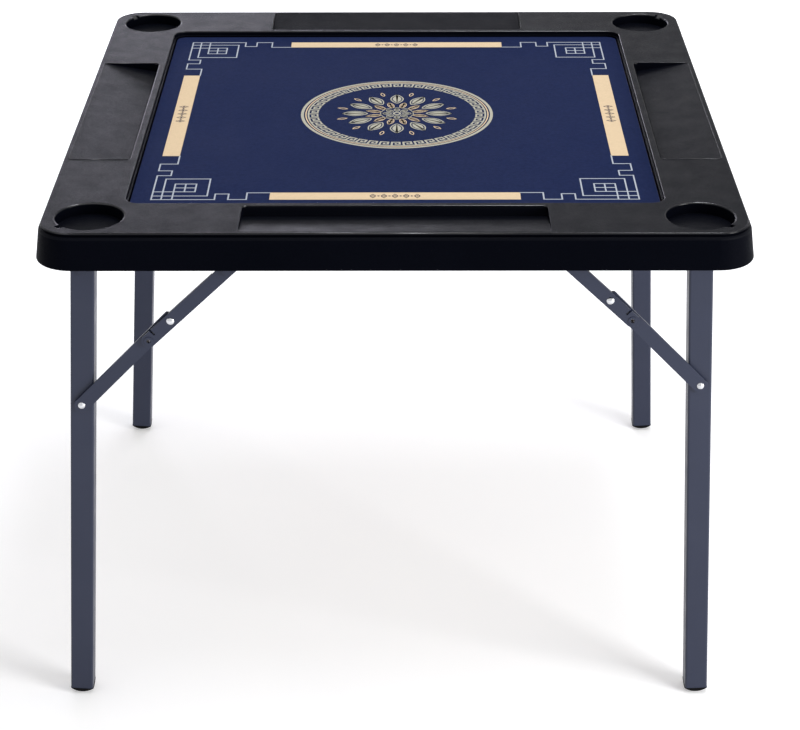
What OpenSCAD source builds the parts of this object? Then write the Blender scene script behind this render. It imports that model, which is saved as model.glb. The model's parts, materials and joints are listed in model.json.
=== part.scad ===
// Folding game table: a moulded frame with cup wells and sloped trays round a covered play board,
// carried by four tubular legs that fold inward one by one on locking knee braces.
// The origin is on the floor under the middle of the top. X runs to the right, Y to the back, Z up.

/* [Top] */
// Width of the square top at its upper edge
top_w = 864; // [840:1:900]
// Height of the top surface above the floor
table_h = 705; // [690:1:740]
// Height of the frame from its top surface to the lower edge of its apron
frame_h = 46; // [44:0.5:56]
// Distance that the shoulder stands out past the upper edge
shoulder_out = 3; // [1:0.5:5]
// Distance that the foot of the apron stands out past the upper edge
apron_out = 8; // [4:0.5:10]
// Radius of the top's corners, seen from above
corner_r = 40; // [35:1:60]
// Wall thickness of the moulded frame
skin = 4; // [3:0.5:5]
// Width of the groove under the upper edge
groove_w = 2.6; // [1:0.2:3.2]
// Depth of the groove under the upper edge
groove_d = 2.5; // [1:0.5:4]
// Radius of the shoulder where the apron starts
shoulder_r = 4.5; // [3:0.5:6]

/* [Play surface] */
// Width of the rim between the top's edge and the opening
rim_w = 96; // [92:0.5:100]
// Corner radius of the opening
opening_r = 18; // [10:1:22]
// Radius of the opening's rounded upper edge
opening_lip = 1.5; // [1:0.25:3]
// Depth of the step in the opening's wall
step_d = 6; // [3:0.5:7]
// Width of the step in the opening's wall
step_w = 2; // [1:0.5:3]
// Depth of the play surface below the rim
recess = 8; // [6:0.5:12]
// Thickness of the printed mat
mat_t = 1.5; // [1:0.5:3]
// Thickness of the play board
board_t = 12; // [9:1:12.5]
// Gap between the board and the opening's wall
board_gap = 1.5; // [0.5:0.25:2.5]
// Width of the ledge that carries the board
ledge_w = 12; // [10:1:16]
// Thickness of the ledge
ledge_t = 3.5; // [2.5:0.5:4.5]

/* [Cup wells] */
// Distance of each well's axis from the top's left or right edge
cup_from_side = 58; // [54:1:62]
// Distance of each well's axis from the top's front or back edge
cup_from_end = 54; // [52:1:58]
// Radius of a well
cup_r = 42; // [36:0.5:43]
// Depth of a well
cup_d = 15; // [11:0.5:16]
// Radius of the rounded lip of a well
cup_lip = 2.2; // [1:0.2:3]
// Width of the sloped notch in the lip
notch_w = 10; // [6:1:14]
// Depth of the notch where it meets the well
notch_d = 8; // [5:0.5:10]

/* [Trays] */
// Length of a tray
tray_l = 378; // [320:2:390]
// Width of the ridge between the opening and a tray's deep side
ridge_w = 10; // [9:1:15]
// Distance of a tray's shallow side from the top's edge
tray_from_edge = 7; // [6:1:20]
// Depth of a tray along its deep side
tray_d = 13; // [9:0.5:14]
// Draft of a tray's deep wall
tray_draft = 3; // [1:0.5:5]
// Radius of the rounded edge along a tray's deep side
tray_lip = 2; // [0.5:0.25:2.5]
// Corner radius of a tray
tray_r = 6; // [3:0.5:9]

/* [Legs] */
// Width of the square leg tube
leg_w = 30; // [26:0.5:30]
// Wall thickness of the leg tube
leg_wall = 1.5; // [1:0.25:2.5]
// Corner radius of the leg tube
leg_r = 3; // [2:0.5:5]
// Distance of the legs' middle plane from the top's front or back edge
leg_from_end = 59; // [57:0.5:61]
// Distance of the right hinge pins from the top's right edge
hinge_in_right = 55.5; // [52:0.5:58]
// Distance of the left hinge pins from the top's left edge
hinge_in_left = 46; // [44:0.5:52]
// Depth of the right hinge pins below the top surface
hinge_drop_right = 35.5; // [35.5:0.5:38]
// Depth of the left hinge pins below the top surface
hinge_drop_left = 66.5; // [66.5:0.5:70]
// Outward lean of the right legs, in degrees
lean_right = 2.9; // [1:0.1:5]
// Outward lean of the left legs, in degrees
lean_left = 4; // [1:0.1:5]
// Radius of the hinge pins
hinge_pin_r = 3.5; // [3:0.25:4]
// Height of the visible foot cap
cap_h = 9.5; // [9:0.5:14]
// Radius of the foot cap's dome
cap_dome_r = 28; // [26:1:36]
// Amount that the foot cap stands out past the tube on each side
cap_step = 0.3; // [0:0.1:0.5]

/* [Braces] */
// Distance from the hinge pin to the brace rivet on a right leg
rivet_down_right = 192.4; // [190:0.1:196]
// Distance from the hinge pin to the brace rivet on a left leg
rivet_down_left = 189.1; // [187:0.1:193]
// Length of the lower brace between its rivet and the knee
lower_l = 131; // [128:0.1:134]
// Length of the upper brace between the knee and its anchor pin
upper_l = 140.6; // [138:0.1:143]
// Height of the anchor pin above the brace rivet
brace_rise = 191.531; // [188:0.001:195]
// Bend at the straightened knee, past the dead point, in degrees
knee_kick = 2.4; // [1:0.1:4]
// Width of the lower brace
lower_w = 18.8; // [17:0.1:20]
// Thickness of the lower brace
lower_t = 3; // [2.5:0.25:3.5]
// Width of the upper brace
upper_w = 17.8; // [16.5:0.1:19]
// Sheet thickness of the upper brace
upper_t = 2; // [1.5:0.25:2.5]
// Space between the two braces at the knee
knee_space = 3.2; // [3:0.1:5]
// Space between a leg and its lower brace
brace_stand = 2; // [1.6:0.1:3]
// Distance from the knee to the catch spring's rivet
spring_at = 39.5; // [34:0.5:44]

/* [Hardware] */
// Sheet thickness of the brackets
bracket_t = 2.5; // [2:0.25:3]
// Radius of the rivet shanks
rivet_r = 3; // [2.5:0.25:3.5]
// Radius of the rivet heads
rivet_head_r = 4.8; // [4:0.1:5]
// Radius of the hollow knee rivet
knee_r = 4; // [3.5:0.25:4.5]
// Radius of the hole through the hollow knee rivet
knee_bore_r = 2.75; // [2:0.25:3]
// Radial clearance of a turning pin
run = 0.06; // [0.03:0.01:0.1]
// Radius of the screw shanks
screw_r = 1.5; // [1.25:0.05:2]
// Radius of the screw heads
screw_head_r = 4; // [3.5:0.25:4.5]
// Height of the screw heads
screw_head_h = 2.2; // [1.8:0.1:2.6]

/* [Hidden] */
$fn = 64;

RIGHT = 0;
LEFT = 1;
FRONT = -1;
BACK = 1;

// Cutting tools reach this far past the faces that they open
past = 1;
half_top = top_w / 2;
opening_w = top_w - 2 * rim_w;
half_opening = opening_w / 2;
// The opening below its step
well_w = opening_w - 2 * step_w;
well_r = opening_r - step_w;
tray_in = half_opening + ridge_w;
tray_out = half_top - tray_from_edge;
cup_x = half_top - cup_from_side;
cup_y = half_top - cup_from_end;
leg_y = half_top - leg_from_end;
// Levels are measured down from the top surface
mat_top = recess;
board_top = mat_top + mat_t;
board_bottom = board_top + board_t;
ledge_bottom = board_bottom + ledge_t;
// Level on which every bracket seats
seat = 21;
// Deepest level of the ribs
rib_level = seat - 2;
rib_t = 2.4;
boss_r = 5;
pilot_depth = 12;
pilot_slack = 0.05;

hinge_x = [half_top - hinge_in_right, half_top - hinge_in_left];
hinge_z = [-hinge_drop_right, -hinge_drop_left];
lean = [lean_right, lean_left];
rivet_down = [rivet_down_right, rivet_down_left];

// Layers of the brace, measured outward from the middle plane between front and back
leg_face = leg_y + leg_w / 2;
lower_in = leg_face + brace_stand;
lower_out = lower_in + lower_t;
web_in = lower_out + knee_space;
web_out = web_in + upper_t;
layer_gap = 0.3;
ear_in = web_out + layer_gap;
ear_out = ear_in + bracket_t;
flange_t = 1.8;
washer_t = 0.8;
washer_gap = 0.1;
cheek_gap = washer_t + 2 * washer_gap;

// Pivots in the plane of a brace: distance outward from the middle of the top, and level
function turn(p, a) = [p.x * cos(a) - p.y * sin(a), p.x * sin(a) + p.y * cos(a)];
function hinge_at(side) = [hinge_x[side], hinge_z[side]];
function rivet_at(side) = hinge_at(side) + turn([0, -rivet_down[side]], lean[side]);
// The straightened brace counts as one bar between its end pins
brace_reach = norm([lower_l + upper_l * cos(knee_kick), upper_l * sin(knee_kick)]);
brace_bend = atan2(upper_l * sin(knee_kick), lower_l + upper_l * cos(knee_kick));
lower_turn = 180 - asin(brace_rise / brace_reach) - brace_bend;
upper_turn = lower_turn + knee_kick;
function knee_at(side) = rivet_at(side) + turn([lower_l, 0], lower_turn);
function anchor_at(side) = knee_at(side) + turn([upper_l, 0], upper_turn);

// Bracket screws, measured like the pivots but seen from above
hinge_plate_half = 26;
hinge_plate_in = leg_y - 81;
hinge_plate_out = leg_face + 14;
hinge_screw_x = 18;
hinge_screw_y = [leg_y - 71, leg_y - 49];
anchor_plate_half = 20;
anchor_plate_out = ear_in + 25;
anchor_screw_x = 13;
anchor_screw_out = 15;
anchor_screw_y = ear_in + anchor_screw_out;
board_screw_pitch = 220;
board_screw_in = well_w / 2 - ledge_w / 2;

plastic = [0.12, 0.12, 0.13];
steel = [0.27, 0.28, 0.34];
zinc = [0.75, 0.76, 0.78];
navy = [0.14, 0.17, 0.34];

module at_corner(side, row) {
    if (side == LEFT && row == FRONT) mirror([1, 0, 0]) mirror([0, 1, 0]) children();
    else if (side == LEFT) mirror([1, 0, 0]) children();
    else if (row == FRONT) mirror([0, 1, 0]) children();
    else children();
}

module four_corners() {
    for (side = [RIGHT, LEFT]) for (row = [FRONT, BACK]) at_corner(side, row) children();
}

module four_sides() {
    for (a = [0, 90, 180, 270]) rotate(a) children();
}

module rounded_square(w, r) {
    square([w, w - 2 * r], center = true);
    square([w - 2 * r, w], center = true);
    for (x = [-1, 1]) for (y = [-1, 1]) translate([x * (w / 2 - r), y * (w / 2 - r)]) circle(r);
}

// A slab between two levels below the top surface
module slab(from, to) {
    translate([0, 0, table_h - to]) linear_extrude(to - from) children();
}

// A plate cut from an outline in the plane of a brace, between two layers
module plate(from, to) {
    translate([0, to, table_h]) rotate([90, 0, 0]) linear_extrude(to - from) children();
}

module pin(at, r, from, to) {
    translate([at.x, to, table_h + at.y]) rotate([90, 0, 0]) cylinder(r = r, h = to - from);
}

// A domed rivet head that stands on a layer and faces outward
module dome_head(at, r, h, from) {
    dome = (r * r + h * h) / (2 * h);
    intersection() {
        translate([at.x, from + h - dome, table_h + at.y]) sphere(dome);
        pin(at, r, from, from + h);
    }
}

// Sweeps an outline along the top's edge: its X runs outward from the edge, its Y upward
module edge_sweep() {
    straight = top_w - 2 * corner_r;
    four_sides() {
        translate([half_top, straight / 2, table_h]) rotate([90, 0, 0]) linear_extrude(straight) children();
        translate([half_top - corner_r, half_top - corner_r, table_h])
            rotate_extrude(angle = 90) translate([corner_r, 0]) children();
    }
}

edge_r = 1.5;
groove_top = 1.8;
shoulder_top = groove_top + groove_w;
edge_in = 14;

shoulder_at = [shoulder_out - shoulder_r, -shoulder_top - shoulder_r];
foot_at = [apron_out - edge_r, -frame_h + edge_r];
foot_in = [apron_out - skin + edge_r, -frame_h + edge_r];
// Direction that the apron's slanted wall faces: square to the line that touches its two roundings
wall_run = foot_at - shoulder_at;
wall_len = norm(wall_run);
wall_face = atan2(wall_run.y, wall_run.x) + acos((shoulder_r - edge_r) / wall_len);
wall_way = [cos(wall_face), sin(wall_face)];
// Distance of the wall's inner side from the middle of the top, at a depth below the top surface
function apron_in(depth) = half_top + (shoulder_at + (shoulder_r - skin) * wall_way).x
    + (-depth - (shoulder_at + (shoulder_r - skin) * wall_way).y) * -wall_way.y / wall_way.x;

module edge_outline() {
    // Edge of the deck above the groove
    translate([-edge_in, -groove_top]) square([edge_in - edge_r, groove_top]);
    translate([-edge_r, -groove_top]) square([edge_r, groove_top - edge_r]);
    translate([-edge_r, -edge_r]) circle(edge_r);
    // Floor of the groove
    translate([-edge_in, -shoulder_top - skin]) square([edge_in - groove_d, shoulder_top + skin - past]);
    // Shoulder and apron
    translate(shoulder_at) circle(shoulder_r);
    translate([-groove_d - skin, -shoulder_top - skin]) square([groove_d + skin + shoulder_at.x, skin]);
    polygon([
        shoulder_at + shoulder_r * wall_way, foot_at + edge_r * wall_way, foot_at,
        foot_in, foot_in - edge_r * wall_way, shoulder_at + (shoulder_r - skin) * wall_way
    ]);
    translate([foot_in.x, -frame_h]) square([foot_at.x - foot_in.x, edge_r]);
    for (at = [foot_at, foot_in]) translate(at) circle(edge_r);
}

// Space outside a rounded edge, for cutting: the edge ends at X = 0, Y = 0
module lip_outline(r) {
    difference() {
        translate([0, -r]) square([r, r + past]);
        translate([r, -r]) circle(r);
    }
}

// Rounds the upper edge of a square opening that has rounded corners
module opening_lip_cut() {
    straight = opening_w - 2 * opening_r;
    four_sides() {
        translate([half_opening, straight / 2, table_h]) rotate([90, 0, 0])
            linear_extrude(straight) lip_outline(opening_lip);
        translate([straight / 2, straight / 2, table_h])
            rotate_extrude(angle = 90) translate([opening_r, 0]) lip_outline(opening_lip);
    }
}

module tray_outline(wall) {
    wide = tray_out - tray_in + 2 * wall;
    long = tray_l + 2 * wall;
    r = tray_r + wall;
    translate([(tray_in + tray_out) / 2, 0]) {
        square([wide - 2 * r, long], center = true);
        square([wide, long - 2 * r], center = true);
        for (x = [-1, 1]) for (y = [-1, 1]) translate([x * (wide / 2 - r), y * (long / 2 - r)]) circle(r);
    }
}

module tray_cut() {
    intersection() {
        translate([0, 0, table_h]) rotate([90, 0, 0]) linear_extrude(tray_l, center = true)
            polygon([
                [tray_in, past], [tray_in, 0], [tray_in + tray_draft, -tray_d],
                [tray_out, 0], [tray_out, past]
            ]);
        slab(-2 * past, tray_d + past) tray_outline(0);
    }
    // Rounded edge along the deep side and round its two corners
    straight = tray_l - 2 * tray_r;
    translate([tray_in, -straight / 2, table_h]) rotate([90, 0, 180])
        linear_extrude(straight) lip_outline(tray_lip);
    for (a = [0, 1]) mirror([0, a, 0])
        translate([tray_in + tray_r, straight / 2, table_h])
            rotate([0, 0, 90]) rotate_extrude(angle = 90) translate([tray_r, 0]) lip_outline(tray_lip);
}

module tray_shell() {
    intersection() {
        translate([0, 0, table_h]) rotate([90, 0, 0]) linear_extrude(tray_l + 2 * skin, center = true)
            polygon([
                [tray_in - skin, -past], [tray_in + tray_draft - skin, -tray_d - skin],
                [tray_in + tray_draft + skin, -tray_d - skin], [tray_out, -skin], [tray_out, -past]
            ]);
        slab(0, tray_d + 2 * skin) tray_outline(skin);
    }
}

module cup_cut() {
    translate([cup_x, cup_y, table_h]) {
        rotate_extrude() {
            translate([0, -cup_d]) square([cup_r, cup_d + past]);
            difference() {
                translate([0, -cup_lip]) square([cup_r + cup_lip, cup_lip + past]);
                translate([cup_r + cup_lip, -cup_lip]) circle(cup_lip);
            }
        }
        rotate(45) translate([0, notch_w / 2, 0]) rotate([90, 0, 0]) linear_extrude(notch_w)
            polygon([
                [cup_r - notch_d, past], [cup_r - notch_d, -notch_d],
                [cup_r + notch_d, 0], [cup_r + notch_d, past]
            ]);
    }
}

// Cross rib of the frame, with a gusset down the apron
gusset_drop = 9;
gusset_foot = 7;
gusset_level = frame_h - gusset_drop;
module cross_rib(y) {
    translate([0, y + rib_t / 2, table_h]) rotate([90, 0, 0]) linear_extrude(rib_t)
        polygon([
            [half_opening + past, -skin + past], [half_top - groove_d - past, -skin + past],
            [half_top - groove_d - past, -shoulder_top - shoulder_r],
            [apron_in(shoulder_top + shoulder_r) + past, -shoulder_top - shoulder_r],
            [apron_in(gusset_level) + past, -gusset_level],
            [apron_in(gusset_level) - gusset_foot, -gusset_level],
            [apron_in(gusset_level) - gusset_foot - gusset_drop, -rib_level],
            [half_opening + past, -rib_level]
        ]);
}

rib_places = [-275, -240, -126, -63, 0, 63, 126, 240, 275];

module boss(x, y) {
    translate([x, y, table_h - seat]) cylinder(r = boss_r, h = seat - skin + past);
}

module pilot(x, y) {
    translate([x, y, table_h - seat - past]) cylinder(r = screw_r + pilot_slack, h = pilot_depth + past);
}

module bracket_screw_places(side) {
    for (x = [-1, 1]) {
        for (y = hinge_screw_y) translate([hinge_x[side] + x * hinge_screw_x, y, 0]) children();
        translate([anchor_at(side).x + x * anchor_screw_x, anchor_screw_y, 0]) children();
    }
}

module all_bracket_screw_places() {
    for (side = [RIGHT, LEFT]) for (row = [FRONT, BACK])
        at_corner(side, row) bracket_screw_places(side) children();
}

module board_screw_places() {
    four_sides() for (y = [-1, 0, 1]) translate([board_screw_in, y * board_screw_pitch, 0]) children();
}

// Pads on the underside of the cup wells, which the outer feet of the hinge brackets bear on
pad_l = 28;
pad_w = 8;

module top_frame() {
    color(plastic) difference() {
        union() {
            edge_sweep() edge_outline();
            slab(0, skin) rounded_square(top_w - 2 * edge_r - 2 * past, corner_r - edge_r - past);
            // Wall round the opening, down to the ledge
            slab(past, ledge_bottom) rounded_square(opening_w + 2 * skin, opening_r + skin);
            four_corners() translate([cup_x, cup_y, 0]) {
                slab(past, cup_d + skin) circle(cup_r + skin);
            }
            four_corners() slab(cup_d, seat)
                translate([(hinge_x[RIGHT] + hinge_x[LEFT]) / 2, cheek_out + pad_w])
                    square([pad_l, pad_w], center = true);
            four_sides() {
                tray_shell();
                for (y = rib_places) cross_rib(y);
            }
            all_bracket_screw_places() boss(0, 0);
        }
        // Opening above the ledge, and the smaller one inside it
        slab(-past, step_d) rounded_square(opening_w, opening_r);
        slab(-past, board_bottom) rounded_square(well_w, well_r);
        slab(-past, ledge_bottom + past) rounded_square(well_w - 2 * ledge_w, opening_r);
        opening_lip_cut();
        four_corners() cup_cut();
        four_sides() tray_cut();
        all_bracket_screw_places() pilot(0, 0);
        board_screw_places() translate([0, 0, table_h - ledge_bottom - past])
            cylinder(r = screw_r + 0.6, h = ledge_t + 2 * past);
    }
}

module play_board() {
    color([0.55, 0.45, 0.33]) difference() {
        slab(board_top, board_bottom) rounded_square(well_w - 2 * board_gap, well_r - board_gap);
        board_screw_places() translate([0, 0, table_h - board_bottom - past])
            cylinder(r = screw_r + pilot_slack, h = board_t * 0.75 + past);
    }
}

module play_mat() {
    mat_gap = board_gap + 0.5;
    color(navy) slab(mat_top, board_top) rounded_square(well_w - 2 * mat_gap, well_r - mat_gap);
}

// A pan head screw driven upward, its head under the level that it clamps
module screw(level, length) {
    translate([0, 0, table_h - level]) cylinder(r = screw_r, h = length);
    translate([0, 0, table_h - level - screw_head_h])
        cylinder(r1 = screw_head_r * 0.8, r2 = screw_head_r, h = screw_head_h);
}

module board_screws() {
    color(zinc) board_screw_places() screw(ledge_bottom, ledge_t + board_t * 0.7);
}

module bracket_screws() {
    color(zinc) all_bracket_screw_places() screw(seat + bracket_t, bracket_t + pilot_depth - past);
}

cheek_in = leg_face + cheek_gap;
cheek_out = cheek_in + bracket_t;
cheek_back = leg_y - leg_w / 2 - cheek_gap;
cheek_end = cheek_back - bracket_t;
cheek_r = 7.5;
web_at = leg_w / 2 + 0.6;
web_end = web_at + bracket_t;
cheek_reach = 22;

module cheek_outline(side) {
    a = hinge_at(side);
    difference() {
        union() {
            translate(a) circle(cheek_r);
            polygon([
                [a.x - cheek_r, a.y], [a.x + cheek_r, a.y], [a.x + web_end, a.y + cheek_r],
                [a.x + web_end, -seat - bracket_t / 2], [a.x - cheek_reach, -seat - bracket_t / 2]
            ]);
        }
        translate(a) circle(hinge_pin_r);
    }
}

// Two cheeks joined by a web outboard of the leg, with feet that stay clear of the folded leg
module hinge_bracket(side, row) {
    a = hinge_at(side);
    color(steel) at_corner(side, row) {
        difference() {
            slab(seat, seat + bracket_t) {
                translate([a.x - hinge_plate_half, hinge_plate_in])
                    square([2 * hinge_plate_half, cheek_back - hinge_plate_in]);
                translate([a.x + web_at, hinge_plate_in])
                    square([hinge_plate_half - web_at, hinge_plate_out - hinge_plate_in]);
                translate([a.x - cheek_reach, cheek_in])
                    square([cheek_reach + hinge_plate_half, hinge_plate_out - cheek_in]);
            }
            for (x = [-1, 1]) for (y = hinge_screw_y)
                translate([a.x + x * hinge_screw_x, y, table_h - seat - bracket_t - past])
                    cylinder(r = screw_r + 0.3, h = bracket_t + 2 * past);
        }
        plate(cheek_in, cheek_out) cheek_outline(side);
        plate(cheek_end, cheek_back) cheek_outline(side);
        plate(cheek_end, cheek_out) translate([a.x + web_at, a.y + cheek_r])
            square([bracket_t, -seat - bracket_t / 2 - a.y - cheek_r]);
    }
}

module hinge_pin(side, row) {
    head = 1.4;
    at = hinge_at(side);
    color(steel) at_corner(side, row) {
        pin(at, hinge_pin_r, cheek_end - head, cheek_out + head);
        pin(at, hinge_pin_r + 1.7, cheek_out, cheek_out + head);
        pin(at, hinge_pin_r + 1.5, cheek_end - head, cheek_end);
    }
}

module hinge_washers() {
    color([0.85, 0.85, 0.82]) for (side = [RIGHT, LEFT]) for (row = [FRONT, BACK]) at_corner(side, row)
        for (from = [leg_face + washer_gap, cheek_back + washer_gap]) difference() {
            pin(hinge_at(side), hinge_pin_r + 4, from, from + washer_t);
            pin(hinge_at(side), hinge_pin_r + run, from - past, from + washer_t + past);
        }
}

module anchor_bracket(side, row) {
    d = anchor_at(side);
    ear_r = 6.8;
    color(steel) at_corner(side, row) {
        difference() {
            plate(ear_in, ear_out) {
                translate(d) circle(ear_r);
                polygon([
                    [d.x - ear_r, d.y], [d.x + ear_r, d.y],
                    [d.x + anchor_plate_half, -seat - bracket_t / 2],
                    [d.x - anchor_plate_half, -seat - bracket_t / 2]
                ]);
            }
            pin(d, rivet_r, ear_in - past, ear_out + past);
        }
        difference() {
            slab(seat, seat + bracket_t) translate([d.x - anchor_plate_half, ear_in])
                square([2 * anchor_plate_half, anchor_plate_out - ear_in]);
            for (x = [-1, 1])
                translate([d.x + x * anchor_screw_x, anchor_screw_y, table_h - seat - bracket_t - past])
                    cylinder(r = screw_r + 0.3, h = bracket_t + 2 * past);
        }
    }
}

// Fixed pin of the upper brace, headed outside the ear and upset inside the web
module anchor_pin(side, row) {
    d = anchor_at(side);
    upset_r = rivet_r + 0.6;
    color(steel) at_corner(side, row) {
        pin(d, rivet_r, web_in - 1.5, ear_out + 1);
        pin(d, rivet_r + 2, ear_out, ear_out + 1);
        pin(d, upset_r, web_in - 1.5, web_in - 0.1);
    }
}

// Height of a hinge pin above the floor, and distance along the leg to the middle of the foot's dome
foot_flat = 0.6;
function dome_down(side) = (table_h + hinge_z[side] + foot_flat - cap_dome_r) / cos(lean[side]);
function tube_down(side) = dome_down(side) + cap_dome_r - cap_h;

// Places children in a leg's own frame: origin at the hinge pin, -Z along the leg
module on_leg(side) {
    translate([hinge_x[side], leg_y, table_h + hinge_z[side]]) rotate([0, -lean[side], 0]) children();
}

module leg(side, row) {
    inner = leg_w - 2 * leg_wall;
    color(steel) at_corner(side, row) on_leg(side) difference() {
        intersection() {
            translate([0, 0, -tube_down(side)]) linear_extrude(tube_down(side) + leg_w / 2)
                rounded_square(leg_w, leg_r);
            union() {
                translate([-leg_w, -leg_w, -tube_down(side) - past])
                    cube([2 * leg_w, 2 * leg_w, tube_down(side) + past]);
                rotate([90, 0, 0]) cylinder(r = leg_w / 2, h = 2 * leg_w, center = true);
            }
        }
        translate([0, 0, -tube_down(side) - past]) linear_extrude(tube_down(side) + leg_w)
            rounded_square(inner, leg_r - leg_wall / 2);
        rotate([90, 0, 0]) cylinder(r = hinge_pin_r + run, h = 2 * leg_w, center = true);
        // Hole for the brace rivet, in the outer wall only
        translate([0, leg_w, -rivet_down[side]]) rotate([90, 0, 0]) cylinder(r = rivet_r + 0.2, h = leg_w);
    }
}

module foot_cap(side, row) {
    plug_l = 22;
    plug_gap = 0.15;
    plug_wall = 2.5;
    outer = leg_w + 2 * cap_step;
    inner = leg_w - 2 * leg_wall - 2 * plug_gap;
    end = -tube_down(side);
    color(plastic) at_corner(side, row) difference() {
        on_leg(side) difference() {
            union() {
                intersection() {
                    translate([0, 0, end - cap_h]) linear_extrude(cap_h)
                        rounded_square(outer, leg_r + cap_step);
                    translate([0, 0, -dome_down(side)]) sphere(cap_dome_r);
                }
                translate([0, 0, end - past]) linear_extrude(plug_l + past)
                    rounded_square(inner, leg_r - leg_wall / 2);
            }
            translate([0, 0, end]) linear_extrude(plug_l + past)
                rounded_square(inner - 2 * plug_wall, leg_r - leg_wall / 2);
        }
        translate([0, 0, -cap_dome_r]) cube([4 * half_top, 4 * half_top, 2 * cap_dome_r], center = true);
    }
}

// Places an outline in the lower brace's frame: origin at the leg rivet, +X to the knee
module on_lower(side) {
    translate(rivet_at(side)) rotate(lower_turn) children();
}

// Places an outline in the upper brace's frame: origin at the knee, +X to the anchor pin
module on_upper(side) {
    translate(knee_at(side)) rotate(upper_turn) children();
}

head_l = 45.5;
head_r = 4;
lip_gap = 0.1;
lip_t = 1.5;
lip_from = 22;
lip_l = 20;

module lower_outline() {
    half = lower_w / 2;
    circle(half);
    translate([0, -half]) square([lower_l + head_l - head_r, lower_w]);
    translate([lower_l, head_r - half]) square([head_l, lower_w - 2 * head_r]);
    for (y = [-1, 1]) translate([lower_l + head_l - head_r, y * (half - head_r)]) circle(head_r);
    // Root of the stop lip
    translate([lower_l, 0]) rotate(knee_kick) translate([lip_from, 0]) square([lip_l, upper_w / 2]);
}

module lower_brace(side, row) {
    color(steel) at_corner(side, row) {
        difference() {
            plate(lower_in, lower_out) on_lower(side) lower_outline();
            pin(rivet_at(side), rivet_r + 0.05, lower_in - past, lower_out + past);
            pin(knee_at(side), knee_r + run, lower_in - past, lower_out + past);
        }
        // Stop lip that stands in a notch of the straightened upper brace
        plate(lower_in, web_out) on_upper(side)
            translate([lip_from, upper_w / 2 - lip_t]) square([lip_l, lip_t]);
    }
}

slot_at = 11.8;
slot_w = 2.6;
slot_l = 8.3;
notch_space = 0.5;
flange_from = 16;
flange_short = 18;
// Length that the upper brace runs on past its anchor pin
tail_l = 6.5;
flange_in = lip_from + lip_l + 3 * notch_space;

module upper_brace(side, row) {
    half = upper_w / 2;
    color(steel) at_corner(side, row) {
        difference() {
            plate(web_in, web_out) on_upper(side) {
                circle(half);
                translate([0, -half]) square([upper_l + tail_l, upper_w]);
                translate([upper_l + tail_l, 0]) circle(half);
            }
            plate(web_in - past, web_out + past) on_upper(side)
                translate([lip_from - notch_space, half - lip_t - lip_gap])
                    square([lip_l + 2 * notch_space, lip_t + lip_gap + past]);
            plate(web_in - past, web_out + past) on_upper(side)
                translate([slot_at - slot_w / 2, -half - past]) square([slot_w, slot_l + past]);
            pin(knee_at(side), knee_r + 0.05, web_in - past, web_out + past);
            pin(anchor_at(side), rivet_r + run, web_in - past, web_out + past);
            pin(spring_rivet_at(side), rivet_r - 0.45, web_in - past, web_out + past);
        }
        // Flanges along both edges, clear of the ends and of the stop lip
        plate(lower_out + layer_gap, web_in + upper_t / 2) on_upper(side) {
            translate([flange_from, -half]) square([upper_l - flange_from - flange_short, flange_t]);
            translate([flange_in, half - flange_t]) square([upper_l - flange_in - flange_short, flange_t]);
        }
    }
}

function spring_rivet_at(side) = knee_at(side) + turn([spring_at, 0], upper_turn);

spring_t = 0.8;
spring_w = 9;
spring_tip = 9.5;
module catch_spring(side, row) {
    nib_h = 1.2;
    color([0.2, 0.2, 0.22]) at_corner(side, row) {
        difference() {
            plate(web_in - spring_t, web_in) on_upper(side) {
                translate([spring_tip, -spring_w / 2]) square([spring_at - spring_tip, spring_w]);
                translate([spring_at, 0]) circle(spring_w / 2);
            }
            pin(spring_rivet_at(side), rivet_r - 0.45, web_in - spring_t - past, web_in + past);
        }
        translate([0, web_in - spring_t, table_h]) rotate([90, 0, 0]) linear_extrude(nib_h) on_upper(side)
            translate([slot_at, 0]) circle(1.6);
    }
}

module spring_rivet(side, row) {
    at = spring_rivet_at(side);
    head_h = 2.6;
    color(zinc) at_corner(side, row) {
        pin(at, rivet_r - 0.5, web_in - spring_t - 1, web_out + head_h / 2);
        dome_head(at, rivet_head_r + 0.4, head_h, web_out);
        pin(at, rivet_r + 0.6, web_in - spring_t - 1, web_in - spring_t);
    }
}

// The rivet turns with the brace, and its shoulder stops short of the leg
module leg_rivet(side, row) {
    at = rivet_at(side);
    head_h = 2.5;
    color(zinc) at_corner(side, row) {
        pin(at, rivet_r, leg_face + layer_gap, lower_out + head_h / 2);
        dome_head(at, rivet_head_r, head_h, lower_out);
        pin(at, rivet_r + 2.5, leg_face + layer_gap, lower_in);
    }
}

module knee_rivet(side, row) {
    at = knee_at(side);
    rim = 0.8;
    tail = 1.1;
    color(steel) at_corner(side, row) difference() {
        union() {
            pin(at, knee_r, lower_in - tail, web_out + rim);
            pin(at, knee_r + 1.6, web_out, web_out + rim);
            pin(at, knee_r + 1.4, lower_in - tail, lower_in - 0.1);
        }
        pin(at, knee_bore_r, lower_in - tail - past, web_out + rim + past);
    }
}

module knee_washer(side, row) {
    at = knee_at(side);
    color(zinc) at_corner(side, row) difference() {
        pin(at, knee_r + 3, lower_out + 0.1, web_in);
        pin(at, knee_r + 0.05, lower_out, web_in + past);
    }
}

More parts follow.
